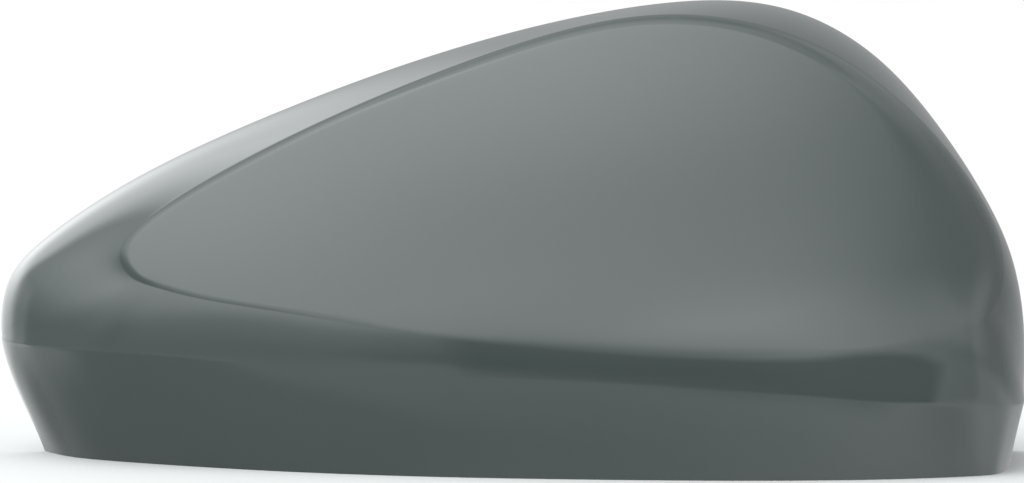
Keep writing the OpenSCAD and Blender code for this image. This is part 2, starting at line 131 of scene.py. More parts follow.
# %% Stations of the skirt, in millimetres
# x and setback of the bottom edge, height of the character line
SKIRT = np.array([
    (-102.8, 70.0, 25.0),
    (-95.6, 55.4, 25.1),
    (-83.6, 43.8, 24.9),
    (-67.5, 32.4, 24.5),
    (-49.5, 21.8, 23.8),
    (-27.5, 12.6, 23.1),
    (-4.5, 6.4, 22.3),
    (19.5, 2.5, 21.3),
    (42.5, 0.5, 20.0),
    (63.0, 0.9, 18.5),
    (82.0, 4.2, 16.8),
    (97.5, 10.6, 15.2),
    (105.3, 23.5, 14.0),
    (110.3, 70.0, 13.0),
])
SKIRT_END = len(SKIRT) - 1
print(len(SKIRT), "of the stations carry the skirt")


# %% [markdown]
# ## Splines
# A cubic B-spline does not pass through its own control rows, but a small set of linear
# equations finds the control rows whose spline does. One function solves them for the closed
# loop round the shell and for the open list of the skirt.

# %% Splines through the rows
def control_rows(rows, closed):
    n = len(rows)
    pull = np.zeros((n, n))
    for i in range(n):
        pull[i, i] = 4 / 6
        if closed:
            pull[i, (i - 1) % n] += 1 / 6
            pull[i, (i + 1) % n] += 1 / 6
        elif 0 < i < n - 1:
            pull[i, i - 1] = pull[i, i + 1] = 1 / 6
        else:
            pull[i, i] = 1.0
    return np.linalg.solve(pull, rows)


def blend_rows(a, b, c, d, f):
    f = f[:, None]
    return ((1 - f) ** 3 * a + (3 * f**3 - 6 * f**2 + 4) * b
            + (-3 * f**3 + 3 * f**2 + 3 * f + 1) * c + f**3 * d) / 6


STATION_CONTROL = control_rows(STATIONS, closed=True)
open_rows = control_rows(SKIRT, closed=False)
SKIRT_CONTROL = np.vstack([2 * open_rows[0] - open_rows[1], open_rows,
                           2 * open_rows[-1] - open_rows[-2]])


def station(t):
    i = np.floor(t).astype(int)
    rows = [STATION_CONTROL[(i + k) % STATION_COUNT] for k in (-1, 0, 1, 2)]
    return blend_rows(*rows, t - i)


def skirt_row(t):
    """Row of the skirt's list at t, which runs on straight past both of its ends."""
    inside = np.clip(t, 0, SKIRT_END)
    i = np.minimum(np.floor(inside).astype(int), SKIRT_END - 1)
    row = blend_rows(*[SKIRT_CONTROL[i + k] for k in range(4)], inside - i)
    slope_start = (SKIRT_CONTROL[2] - SKIRT_CONTROL[0]) / 2
    slope_end = (SKIRT_CONTROL[-1] - SKIRT_CONTROL[-3]) / 2
    before, after = np.minimum(t, 0)[:, None], np.maximum(t - SKIRT_END, 0)[:, None]
    return row + before * slope_start + after * slope_end


print("station 4 again:", station(np.array([4.0]))[0, :4].round(2))

# %% [markdown]
# ## The face sheet
# Seen from above, the face is a very shallow bowl: it sweeps back to both ends of the cover and
# leans back towards the crown. A polynomial is the right tool here, because it has no waves that
# gloss paint would show. In the drawing a point is (x, setback from the front, height).

# %% The face as one smooth sheet
NOSE_X, NOSE_SETBACK = 48.0, -2.3
FACE_SWEEP, FACE_WRAP = 0.00174, 0.00003
FACE_LEAN, FACE_BULGE, FACE_FOOT = 0.17, 0.0025, 26.0
FACE_CENTRE = np.array([10.0, 56.0])


def on_face(x, z):
    setback = (NOSE_SETBACK + FACE_SWEEP * (x - NOSE_X) ** 2 + FACE_WRAP * np.maximum(0, x - NOSE_X) ** 3
               + FACE_LEAN * (z - FACE_FOOT) + FACE_BULGE * (z - FACE_FOOT) ** 2)
    return np.stack([x, setback, z], axis=-1)


def face_point(flat):
    return on_face(flat[:, 0], flat[:, 1])


print("face lies back", round(float(on_face(np.array(-80.0), np.array(42.0))[1]), 1), "mm at the tip")

# %% Directions and curves
def length(v):
    return np.linalg.norm(v, axis=-1, keepdims=True)


def unit(v):
    return v / length(v)


def bezier(a, b, c, d, v):
    v = np.asarray(v)[..., None]
    return (1 - v) ** 3 * a + 3 * v * (1 - v) ** 2 * b + 3 * v**2 * (1 - v) * c + v**3 * d


def bezier_slope(a, b, c, d, v):
    v = np.asarray(v)[..., None]
    return 3 * (1 - v) ** 2 * (b - a) + 6 * v * (1 - v) * (c - b) + 3 * v**2 * (d - c)


def ease(x):
    """Smooth step from 0 to 1."""
    x = np.clip(x, 0, 1)
    return x * x * (3 - 2 * x)


print("a quarter of the way is eased to", float(ease(0.25)))

# %% [markdown]
# ## The flank
# From the crease the flank runs back to the rim. Across the rim's outline its profile swells as
# the handles say, and along the outline it keeps an even pace, which avoids ripples in the
# tight outer end. Under the cover the profile is cut off at the height of the character line.

# %% Flank profiles
# small step, in stations, that shows which way the rim runs
STATION_STEP = 0.02


def flank_handles(t):
    """The four points of the flank's Bezier, from the crease to the rim, at the stations t."""
    row = station(t)
    run = station(t + STATION_STEP) - station(t - STATION_STEP)
    zero = np.zeros(len(t))
    along = unit(np.stack([run[:, RIM_X], zero, run[:, RIM_Z]], axis=-1))
    across = np.stack([along[:, 2], zero, -along[:, 0]], axis=-1)
    crease = on_face(row[:, CREASE_X], row[:, CREASE_Z])
    rim = np.stack([row[:, RIM_X], zero + DRAWN_REAR, row[:, RIM_Z]], axis=-1)
    out = np.sum((rim - crease) * across, axis=-1, keepdims=True) * across
    slip = np.sum((rim - crease) * along, axis=-1, keepdims=True) * along
    depth = np.stack([zero, rim[:, 1] - crease[:, 1], zero], axis=-1)
    out_1, back_1, out_2, back_2 = (row[:, k, None] for k in (OUT_1, BACK_1, OUT_2, BACK_2))
    return (crease, crease + out_1 * out + slip / 3 + back_1 * depth,
            crease + out_2 * out + 2 * slip / 3 + back_2 * depth, rim)


print("first handle at station 20:", flank_handles(np.array([20.0]))[1][0].round(1))

# %% Where the flank ends
# stations past each end of the skirt over which the flank grows, and the share that it grows by
SPARE, BEYOND = 0.25, 0.05
HALVINGS = 30


def flank_end(t, handles):
    """Where the flank stops: at the character line above the skirt, and else just past the rim."""
    wrapped = np.where(t >= STATION_COUNT - SPARE, t - STATION_COUNT, t)
    outside = np.maximum(-wrapped, wrapped - SKIRT_END)
    line_height = skirt_row(wrapped)[:, 2]
    a, b = np.zeros(len(t)), np.ones(len(t))
    for _ in range(HALVINGS):
        middle = (a + b) / 2
        above = bezier(*handles, middle)[:, 2] > line_height
        a, b = np.where(above, middle, a), np.where(above, b, middle)
    past_rim = 1 + BEYOND * np.clip(outside / SPARE, 0, 1)
    return np.where(outside >= 0, past_rim, a)


halfway = np.array([SKIRT_END / 2])
kept_share = flank_end(halfway, flank_handles(halfway))[0]
print("halfway along the skirt the flank's curve ends at", round(float(kept_share), 3))

# %% [markdown]
# ## One column of the shell
# A column starts near the middle of the face, runs out to the crease, over its small rounding,
# and down the flank. The rounding is a Bezier that leaves the face and meets the flank along
# their own directions, so light flows over it without a break. Where a station has a lip, the
# rounding sinks by that much on its way, and the flank comes back to its own line further down.

# %% Rounding of the crease
# most of the flank that the rounding may take, and how full its curve is
ROUND_LIMIT, ROUND_FULLNESS = 0.45, 0.6
# small step, in millimetres, that shows which way the face runs
FACE_STEP = 0.01


def face_inward(x, z):
    """Direction square to the face, into the cover."""
    slope_x = 2 * FACE_SWEEP * (x - NOSE_X) + 3 * FACE_WRAP * np.maximum(0, x - NOSE_X) ** 2
    slope_z = FACE_LEAN + 2 * FACE_BULGE * (z - FACE_FOOT)
    return unit(np.stack([-slope_x, np.ones(len(x)), -slope_z], axis=-1))


def crease_rounding(row, handles, v_end, least_round):
    """The Bezier over the crease from the face to the flank, and where it meets the flank."""
    edge = row[:, [CREASE_X, CREASE_Z]]
    inward = unit(FACE_CENTRE - edge)
    rounding = np.maximum(row[:, ROUNDING, None], least_round)
    start = face_point(edge + rounding * inward)
    ahead = face_point(edge + (rounding - FACE_STEP) * inward)
    reach = 3 * length(handles[1] - handles[0])
    v_meet = np.minimum(ROUND_LIMIT * v_end, (rounding / reach)[:, 0])
    meet = bezier(*handles, v_meet)
    leave, arrive = unit(ahead - start), unit(bezier_slope(*handles, v_meet))
    a = start + ROUND_FULLNESS * length(handles[0] - start) * leave
    b = meet - ROUND_FULLNESS * length(handles[0] - meet) * arrive
    return (start, a, b, meet), v_meet


print("rounding of the crease, in mm:", STATIONS[:, ROUNDING].min(), "to", STATIONS[:, ROUNDING].max())

# %% Columns of the upper body
FACE_ROWS, ROUND_ROWS, FLANK_ROWS, LINE_ROWS = 24, 9, 26, 4
UPPER_ROWS = FACE_ROWS + ROUND_ROWS + FLANK_ROWS + LINE_ROWS
# the rows of the flank crowd towards the crease
FLANK_CROWDING = 1.5
# the last rows keep to the softened line, and start below this share of the flank
LINE_STEPS = np.arange(1, LINE_ROWS + 1) / LINE_ROWS
LINE_LIMIT = 0.6


def upper_columns(t, least_round, line_span, lip):
    row = station(t)
    handles = flank_handles(t)
    v_end = flank_end(t, handles)
    over_crease, v_start = crease_rounding(row, handles, v_end, least_round)
    face_edge = over_crease[0][:, [0, 2]]
    sink = lip * np.maximum(row[:, LIP, None], 0) * face_inward(row[:, CREASE_X], row[:, CREASE_Z])
    end_pace = length(bezier_slope(*handles, v_end))[:, 0]
    v_line = np.maximum(v_end - line_span / end_pace, v_start + LINE_LIMIT * (v_end - v_start))
    rows = []
    for f in np.arange(1, FACE_ROWS + 1) / FACE_ROWS:
        rows.append(face_point(FACE_CENTRE + f * (face_edge - FACE_CENTRE)))
    for f in np.arange(1, ROUND_ROWS) / ROUND_ROWS:
        rows.append(bezier(*over_crease, np.full(len(t), f)) + f * f * sink)
    for f in (np.arange(0, FLANK_ROWS + 1) / FLANK_ROWS) ** FLANK_CROWDING:
        rows.append(bezier(*handles, v_start + f * (v_line - v_start)) + (1 - ease(f)) * sink)
    for f in LINE_STEPS:
        rows.append(bezier(*handles, v_line + f * (v_end - v_line)))
    return np.stack(rows, axis=1)


print(UPPER_ROWS, "rows from the face's middle to the end of the flank")

# %% [markdown]
# ## The skirt
# Below the character line the skirt runs down to the bottom edge. It swells a little, most of
# all at the inner tip and a third of the way down. The line itself is softened over less than a
# millimetre on each side: real tools never leave it sharp, and the softening catches a narrow
# reflection.

# %% Columns of the skirt
SKIRT_ROWS = 12
SKIRT_SWELL = 1.6
# share of its height by which the skirt runs past its foot, until the cut
FOOT_SPARE = 0.12
# small step, in stations, that shows which way the bottom edge runs
SKIRT_STEP = 0.01
# at the inner tip the swell points along the cover, and turns outwards over so many stations
TIP_TURN = 0.4
TOWARDS_TIP = np.array([-1.0, 0.0, 0.0])


def skirt_columns(t, top, line_span):
    foot_row = skirt_row(t)
    run = skirt_row(t + SKIRT_STEP) - skirt_row(t - SKIRT_STEP)
    zero = np.zeros(len(t))
    foot = np.stack([foot_row[:, 0], foot_row[:, 1], zero], axis=-1)
    out = unit(np.stack([run[:, 1], -run[:, 0], zero], axis=-1))
    turned = ease(t / TIP_TURN)[:, None]
    out = unit(turned * out + (1 - turned) * TOWARDS_TIP)
    swell = SKIRT_SWELL * np.maximum(1 - t / SKIRT_END, 0) ** 2
    line = line_span / length(foot - top)[:, 0]
    fractions = [line * f for f in LINE_STEPS]
    fractions += [line + (1 - line) * f for f in np.arange(1, SKIRT_ROWS + 1) / SKIRT_ROWS]
    fractions += [zero + 1 + FOOT_SPARE]
    rows = []
    for f in fractions:
        bow = (swell * 4 * f * (1 - f) ** 2)[:, None]
        rows.append(top + f[:, None] * (foot - top) + bow * out)
    return np.stack(rows, axis=1)


print("skirt has", LINE_ROWS + SKIRT_ROWS + 1, "rows")

# %% Soften the character line
# how full the bridge over the line is, and the stations at each end over which it fades in
LINE_FULLNESS = 0.62
SOFT_ENDS = 0.5


def soften_line(t, upper, skirt):
    """Replaces the rows within the span of the character line by one smooth bridge."""
    first, corner, last = upper[:, -LINE_ROWS - 1], upper[:, -1], skirt[:, LINE_ROWS - 1]
    a, b = first + LINE_FULLNESS * (corner - first), last + LINE_FULLNESS * (corner - last)
    share = (ease(t / SOFT_ENDS) * ease((SKIRT_END - t) / SOFT_ENDS))[:, None]
    for j in range(-LINE_ROWS, LINE_ROWS - 1):
        f = (j + LINE_ROWS + 1) / (2 * LINE_ROWS)
        bridge = bezier(first, a, b, last, np.full(len(t), f))
        rows = upper if j < 0 else skirt
        rows[:, j] = (1 - share) * rows[:, j] + share * bridge


print("the line is bridged over", 2 * LINE_ROWS - 1, "rows")

# %% [markdown]
# ## From the drawing to the frame
# The drawing is turned into metres of the frame by stretching its box onto the CAD node's box.
# The inner surface lies one wall thickness inside an outer surface whose crease and line are
# rounded a little more, just as a toolmaker keeps the wall even inside a tight corner.

# %% Draw the outer side
COLUMNS_PER_STATION = 16
COLUMNS = STATION_COUNT * COLUMNS_PER_STATION
SPARE_COLUMNS = int(SPARE * COLUMNS_PER_STATION)
SKIRT_FIRST = -SPARE_COLUMNS
SKIRT_LAST = SKIRT_END * COLUMNS_PER_STATION + SPARE_COLUMNS
SKIRT_COLUMNS = np.arange(SKIRT_FIRST, SKIRT_LAST + 1)
# how far the softening of the character line reaches on each side of it
LINE_SPAN = 0.7


def draw_shell(least_round, line_span, lip):
    upper = upper_columns(np.arange(COLUMNS) / COLUMNS_PER_STATION, least_round, line_span, lip)
    chosen = SKIRT_COLUMNS % COLUMNS
    t = SKIRT_COLUMNS / COLUMNS_PER_STATION
    skirt = skirt_columns(t, upper[chosen, -1], line_span)
    over_skirt = upper[chosen]
    soften_line(t, over_skirt, skirt)
    upper[chosen] = over_skirt
    return upper, skirt


upper_drawn, skirt_drawn = draw_shell(least_round=0.0, line_span=LINE_SPAN, lip=1.0)
print("drawn:", upper_drawn.shape[:2], "and", skirt_drawn.shape[:2], "columns and rows")

# %% Stretch the drawing onto the frame
before_rim = upper_drawn[:, :, 1] <= DRAWN_REAR
drawn_x = upper_drawn[:, :, 0][before_rim]
drawn_low = np.array([drawn_x.min(), upper_drawn[:, :, 1].min(), 0.0])
drawn_high = np.array([drawn_x.max(), DRAWN_REAR, upper_drawn[:, :, 2][before_rim].max()])
stretch = (high - low) / (drawn_high - drawn_low)


def seat(points):
    return low + (points - drawn_low) * stretch


outer_upper, outer_skirt = seat(upper_drawn), seat(skirt_drawn)
outer_middle = seat(on_face(*FACE_CENTRE))
print("drawn box", drawn_low.round(2), drawn_high.round(2), "stretch", stretch.round(4))


# %% Inner side, one wall further in
WALL = 2.5
INNER_ROUND = 1.7 * WALL
INNER_LINE_SPAN = 2.2


def grid_normals(upper, skirt, middle):
    """Outward normals of the upper body and of the skirt, by differences between neighbours."""
    full = np.full((COLUMNS, upper.shape[1] + skirt.shape[1], 3), np.nan)
    full[:, :upper.shape[1]] = upper
    full[SKIRT_COLUMNS % COLUMNS, upper.shape[1]:] = skirt
    centre = np.broadcast_to(middle, (COLUMNS, 1, 3))
    nearer = np.concatenate([centre, full[:, :-1]], axis=1)
    farther = np.concatenate([full[:, 1:], full[:, -1:]], axis=1)
    before, after = np.roll(full, 1, axis=0), np.roll(full, -1, axis=0)
    # where a neighbour is missing, the point itself stands in for it
    farther, before, after = (np.where(np.isnan(grid), full, grid) for grid in (farther, before, after))
    return unit(np.cross(farther - nearer, after - before))


inner_upper, inner_skirt = draw_shell(least_round=INNER_ROUND, line_span=INNER_LINE_SPAN, lip=0.0)
inner_upper, inner_skirt = seat(inner_upper), seat(inner_skirt)
outward = grid_normals(inner_upper, inner_skirt, outer_middle)
inner_upper -= WALL * outward[:, :UPPER_ROWS]
inner_skirt -= WALL * outward[SKIRT_COLUMNS % COLUMNS, UPPER_ROWS:]
inner_middle = outer_middle + np.array([0.0, WALL, 0.0])
print("points on each side:", 1 + inner_upper[..., 0].size + inner_skirt[..., 0].size)

# %% [markdown]
# ## The closed shell
# Outer and inner points become one closed mesh that runs a little past the rear rim and past the
# bottom edge. Two plane cuts then trim it, which leaves both edges perfectly flat, as on the
# moulding, and a small bevel takes the sharpness off them.

# %% Join both sides into one mesh
OUTER, INNER = 0, 1
SIDE_POINTS = [(outer_middle, outer_upper, outer_skirt), (inner_middle, inner_upper, inner_skirt)]
SKIRT_TOTAL = outer_skirt.shape[1]
SIDE_TOTAL = 1 + COLUMNS * UPPER_ROWS + len(SKIRT_COLUMNS) * SKIRT_TOTAL


def place(side, i, j):
    """Number of the point in column i and row j; the rows of the skirt follow the upper ones."""
    if j < UPPER_ROWS:
        return side * SIDE_TOTAL + 1 + (i % COLUMNS) * UPPER_ROWS + j
    upper_total = COLUMNS * UPPER_ROWS
    return side * SIDE_TOTAL + 1 + upper_total + (i - SKIRT_FIRST) * SKIRT_TOTAL + j - UPPER_ROWS


def side_faces(side):
    faces = []
    for i in range(COLUMNS):
        faces.append([side * SIDE_TOTAL, place(side, i, 0), place(side, i + 1, 0)])
        cells = [(i, j) for j in range(UPPER_ROWS - 1)]
        faces += [cell_face(side, *cell) for cell in cells]
    for i in range(SKIRT_FIRST, SKIRT_LAST):
        cells = [(i, j) for j in range(UPPER_ROWS - 1, UPPER_ROWS + SKIRT_TOTAL - 1)]
        faces += [cell_face(side, *cell) for cell in cells]
    return [face[::-1] for face in faces] if side == INNER else faces


def cell_face(side, i, j):
    corners = [(i, j), (i, j + 1), (i + 1, j + 1), (i + 1, j)]
    return [place(side, *corner) for corner in corners]


def edge_faces():
    """Faces between the two sides, along their common border."""
    last_upper, last_row = UPPER_ROWS - 1, UPPER_ROWS + SKIRT_TOTAL - 1
    border = [(i, last_upper) for i in range(SKIRT_LAST, COLUMNS + SKIRT_FIRST + 1)]
    border += [(SKIRT_FIRST, j) for j in range(UPPER_ROWS, last_row + 1)]
    border += [(i, last_row) for i in range(SKIRT_FIRST + 1, SKIRT_LAST + 1)]
    border += [(SKIRT_LAST, j) for j in range(last_row - 1, last_upper, -1)]
    pairs = zip(border, border[1:] + border[:1])
    return [[place(OUTER, *here), place(INNER, *here), place(INNER, *there), place(OUTER, *there)]
            for here, there in pairs]


outer_faces, inner_faces, rim_faces = side_faces(OUTER), side_faces(INNER), edge_faces()
shell_faces = outer_faces + inner_faces + rim_faces
shell_points = np.concatenate([grid.reshape(-1, 3) for side in SIDE_POINTS for grid in side])
shell_mesh = bpy.data.meshes.new("cover_shell")
shell_mesh.from_pydata((shell_points * MM).tolist(), [], shell_faces)
finishes = [OUTER] * len(outer_faces) + [INNER] * len(inner_faces) + [OUTER] * len(rim_faces)
shell_mesh.polygons.foreach_set("material_index", finishes)
shell_mesh.validate()
print(len(shell_mesh.polygons), "faces before the cuts")


# %% Cut the rear rim and the bottom edge flat
# a point as near to a plane as this, in metres, lies on it
ON_PLANE = 1e-7


def cut_flat(mesh, cuts):
    """Trims a mesh at planes, closes the cuts with paint and counts the edges that stay open."""
    body = bmesh.new()
    body.from_mesh(mesh)
    bmesh.ops.recalc_face_normals(body, faces=body.faces)
    for point, normal in cuts:
        geometry = body.verts[:] + body.edges[:] + body.faces[:]
        bmesh.ops.bisect_plane(
            body, geom=geometry, dist=ON_PLANE, plane_co=point, plane_no=normal, clear_outer=True)
        open_edges = [edge for edge in body.edges if edge.is_boundary]
        for face in bmesh.ops.edgeloop_fill(body, edges=open_edges)["faces"]:
            face.material_index = OUTER
    body.normal_update()
    body.to_mesh(mesh)
    loose = sum(not edge.is_manifold for edge in body.edges)
    body.free()
    return loose


loose_edges = cut_flat(shell_mesh, [
    (Vector((0, high[1], 0)) * MM, Vector((0, 1, 0))),
    (Vector((0, 0, low[2])) * MM, Vector((0, 0, -1))),
])
print(len(shell_mesh.polygons), "faces after the cuts,", loose_edges, "open edges")


# %% [markdown]
# ## Small helpers
# Each finished piece sits at the origin with its place in its mesh, rides on the one body of the
# frame and stands for the CAD node. Bevels and normals are modifiers until the piece is done, and
# are then baked into its mesh.

# %% Make and declare a piece
def make_object(name, mesh):
    piece = bpy.data.objects.new(name, mesh)
    bpy.context.scene.collection.objects.link(piece)
    return piece


def bevel_edges(piece, width, bend, segments):
    """Bevels the edges at which the faces turn by more than a bend in degrees."""
    bevel = piece.modifiers.new("bevel", "BEVEL")
    bevel.limit_method = "ANGLE"
    bevel.angle_limit = math.radians(bend)
    bevel.width = width * MM
    bevel.segments = segments


def plain_mesh(piece):
    """Bakes the modifiers of a piece into its mesh and removes them."""
    bpy.context.view_layer.update()
    graph = bpy.context.evaluated_depsgraph_get()
    mesh = bpy.data.meshes.new_from_object(piece.evaluated_get(graph), depsgraph=graph)
    piece.modifiers.clear()
    piece.data = mesh
    mesh.name = piece.name


def declare(piece):
    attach(piece, "root")
    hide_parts(NODE)
    print(piece.name, len(piece.data.polygons), "faces")


print("pieces will stand for", NODE)


# %% [markdown]
# ## Paint
# The paint is a solid grey with a slight green cast under clear coat. The colour coat is a rough
# base and the clear coat is a separate smooth layer, which is just what the Principled shader's
# coat gives. Its real-scale details are a faint orange peel and very fine pigment variation.


# %% Helpers for shader nodes
def new_group(name, inputs, outputs):
    group = bpy.data.node_groups.new(name, "ShaderNodeTree")
    for title, kind, value in inputs:
        socket = group.interface.new_socket(title, in_out="INPUT", socket_type=kind)
        socket.default_value = value
    for title, kind in outputs:
        group.interface.new_socket(title, in_out="OUTPUT", socket_type=kind)
    return group, group.nodes.new("NodeGroupInput"), group.nodes.new("NodeGroupOutput")


def math_node(tree, operation, *values):
    """Adds a math node on sockets or plain numbers and gives back its result."""
    node = tree.nodes.new("ShaderNodeMath")
    node.operation = operation
    for socket, value in zip(node.inputs, values):
        if isinstance(value, bpy.types.NodeSocket):
            tree.links.new(value, socket)
        else:
            socket.default_value = value
    return node.outputs[0]


print("helpers for groups and math nodes are ready")


# %% Shader group for fine variation
def fine_variation_group():
    """Tints a colour with fine grains of one size and soft patches of a larger size."""
    group, source, result = new_group(
        "fine_variation",
        [("Colour", "NodeSocketColor", (0.5, 0.5, 0.5, 1.0)),
         ("Grain Size", "NodeSocketFloat", 0.0003), ("Grain Amount", "NodeSocketFloat", 0.03),
         ("Patch Size", "NodeSocketFloat", 0.03), ("Patch Amount", "NodeSocketFloat", 0.02)],
        [("Colour", "NodeSocketColor")])
    link = group.links.new
    place_on_piece = group.nodes.new("ShaderNodeTexCoord").outputs["Object"]
    mixed = source.outputs["Colour"]
    for kind in ("Grain", "Patch"):
        noise = group.nodes.new("ShaderNodeTexNoise")
        noise.inputs["Detail"].default_value = 1.0
        link(place_on_piece, noise.inputs["Vector"])
        link(math_node(group, "DIVIDE", 1.0, source.outputs[kind + " Size"]), noise.inputs["Scale"])
        centred = math_node(group, "SUBTRACT", noise.outputs["Fac"], 0.5)
        gain = math_node(group, "MULTIPLY_ADD", centred, source.outputs[kind + " Amount"], 1.0)
        tinted = group.nodes.new("ShaderNodeVectorMath")
        tinted.operation = "SCALE"
        link(mixed, tinted.inputs[0])
        link(gain, tinted.inputs["Scale"])
        mixed = tinted.outputs[0]
    link(mixed, result.inputs["Colour"])
    return group


FINE_VARIATION = fine_variation_group()
print("group", FINE_VARIATION.name)


# %% A material with fine variation and a ripple
def new_material(name, colour, variation, ripple_size, ripple_height):
    """Gives back the material, its shader and the bump whose normal the shader is to use."""
    material = bpy.data.materials.new(name)
    material.use_nodes = True
    nodes, link = material.node_tree.nodes, material.node_tree.links.new
    shader = nodes["Principled BSDF"]
    tint = nodes.new("ShaderNodeGroup")
    tint.node_tree = FINE_VARIATION
    tint.inputs["Colour"].default_value = colour
    for title, value in variation.items():
        tint.inputs[title].default_value = value
    link(tint.outputs["Colour"], shader.inputs["Base Color"])
    ripple = nodes.new("ShaderNodeTexNoise")
    ripple.inputs["Scale"].default_value = 1.0 / ripple_size
    ripple.inputs["Detail"].default_value = 2.0
    link(nodes.new("ShaderNodeTexCoord").outputs["Object"], ripple.inputs["Vector"])
    bump = nodes.new("ShaderNodeBump")
    bump.inputs["Distance"].default_value = ripple_height
    bump.inputs["Strength"].default_value = 1.0
    link(ripple.outputs["Fac"], bump.inputs["Height"])
    return material, shader, bump.outputs["Normal"], link


print("sizes of grains, patches and ripples are in metres")


# %% Gloss paint and bare moulding
PAINT_COLOUR = (0.053, 0.068, 0.066, 1.0)
MOULDING_COLOUR = (0.030, 0.032, 0.033, 1.0)


def gloss_paint():
    material, shader, orange_peel, link = new_material(
        "gloss_grey_paint", PAINT_COLOUR,
        {"Grain Size": 0.00025, "Grain Amount": 0.06, "Patch Size": 0.04, "Patch Amount": 0.03},
        ripple_size=0.004, ripple_height=0.0000015)
    shader.inputs["Roughness"].default_value = 0.5
    shader.inputs["Specular IOR Level"].default_value = 0.0
    shader.inputs["Coat Weight"].default_value = 1.0
    shader.inputs["Coat Roughness"].default_value = 0.03
    shader.inputs["Coat IOR"].default_value = 1.75
    link(orange_peel, shader.inputs["Coat Normal"])
    return material


def bare_moulding():
    material, shader, mould_grain, link = new_material(
        "bare_moulding", MOULDING_COLOUR,
        {"Grain Size": 0.0006, "Grain Amount": 0.2, "Patch Size": 0.03, "Patch Amount": 0.15},
        ripple_size=0.0005, ripple_height=0.00001)
    shader.inputs["Roughness"].default_value = 0.42
    link(mould_grain, shader.inputs["Normal"])
    return material


PAINT = gloss_paint()
MOULDING = bare_moulding()
print("materials:", PAINT.name, MOULDING.name)

# %% [markdown]
# ## Finish the shell
# The rim edges get a bevel of a third of a millimetre, and weighted normals keep the large smooth
# faces true next to it.

# %% Bevel and shade the shell
RIM_BEVEL, RIM_BEND = 0.35, 50
shell_mesh.materials.append(PAINT)
shell_mesh.materials.append(MOULDING)
for polygon in shell_mesh.polygons:
    polygon.use_smooth = True
shell = make_object("cover_shell", shell_mesh)
bevel_edges(shell, RIM_BEVEL, RIM_BEND, segments=3)
shell.modifiers.new("weighted_normals", "WEIGHTED_NORMAL")
plain_mesh(shell)
declare(shell)

# %% [markdown]
# ## What is moulded on the inside
# Behind its face such a cover has snap hooks along the flank, gusset ribs in the corner under the
# upper crease, tabs inside the skirt and two pegs that locate it. Most of them are plates: an
# outline of some thickness, set square to the shell's own line. Every root is sunk into the wall.
# Places round the shell are given in stations, and sizes in millimetres.

# %% Places on the shell
BURIED = 0.55 * WALL
REAR = high[1]
# small step, in stations, that shows which way the flank runs
PLATE_STEP = 0.05


def face_depth(x, z):
    """Depth of the face behind a place given by x and z in the frame."""
    drawn = drawn_low + (np.stack([x, 0 * x, z], axis=-1) - low) / stretch
    return seat(on_face(drawn[..., 0], drawn[..., 2]))[..., 1]


def flank_at(t, v):
    return seat(bezier(*flank_handles(np.array([t])), np.array([v])))[0]


def inward_at(t, v):
    run = flank_at(t + PLATE_STEP, v) - flank_at(t - PLATE_STEP, v)
    return unit(np.array([-run[2], 0.0, run[0]]))


def depth_on_flank(t, setback):
    """How far down the flank it reaches a setback, as a share."""
    handles = flank_handles(np.array([t]))
    a, b = 0.0, 1.0
    for _ in range(HALVINGS):
        middle = (a + b) / 2
        ahead = bezier(*handles, np.array([middle]))[0, 1] < setback
        a, b = (middle, b) if ahead else (a, middle)
    return a


print("the rear rim lies at", round(float(REAR), 1), "mm")


# %% Closed forms and plates
def add_loops(body, loops):
    """Adds a closed form that runs through loops of points, in millimetres."""
    made = [[body.verts.new(Vector(point) * MM) for point in loop] for loop in loops]
    body.faces.new(made[0])
    body.faces.new(made[-1][::-1])
    for before, after in zip(made, made[1:]):
        for k in range(len(before)):
            j = (k + 1) % len(before)
            body.faces.new([before[k], after[k], after[j], before[j]])


def add_plate(body, outline, at, inward, width):
    """Adds a plate whose outline runs along an inward direction and along y."""
    across = np.array([-inward[2], 0.0, inward[0]]) * width / 2
    corners = [at + d * inward + np.array([0.0, y, 0.0]) for d, y in outline]
    add_loops(body, [[corner + side for corner in corners] for side in (-across, across)])


def mesh_of(name, body):
    bmesh.ops.recalc_face_normals(body, faces=body.faces)
    mesh = bpy.data.meshes.new(name)
    body.to_mesh(mesh)
    body.free()
    for polygon in mesh.polygons:
        polygon.use_smooth = True
    return mesh


trial = bmesh.new()
add_plate(trial, [(0, 0), (2, 0), (2, 3), (0, 3)], np.zeros(3), np.array([1.0, 0.0, 0.0]), 1.0)
print("a trial plate has", len(trial.faces), "faces and", round(abs(trial.calc_volume()) / MM**3, 2), "mm3")
trial.free()


# %% Finish a piece of bare moulding
EDGE_BEVEL, EDGE_BEND = 0.25, 35
# above 50 the large faces decide the normals, which keeps the flats flat
FLAT_WEIGHT = 100


def finish_piece(piece):
    """Rounds the edges, keeps the flats flat, bakes and declares a piece of bare moulding."""
    if not piece.data.materials:
        piece.data.materials.append(MOULDING)
    bevel_edges(piece, EDGE_BEVEL, EDGE_BEND, segments=2)
    weighted = piece.modifiers.new("weighted_normals", "WEIGHTED_NORMAL")
    weighted.weight = FLAT_WEIGHT
    plain_mesh(piece)
    declare(piece)


print("edges of the plates are rounded by", EDGE_BEVEL, "mm")


# %% [markdown]
# ## Snap hooks
# All hooks have one outline, so it is drawn once, one millimetre wide. Geometry Nodes set a copy
# on each place of the flank, turn it to the flank and give it its width.

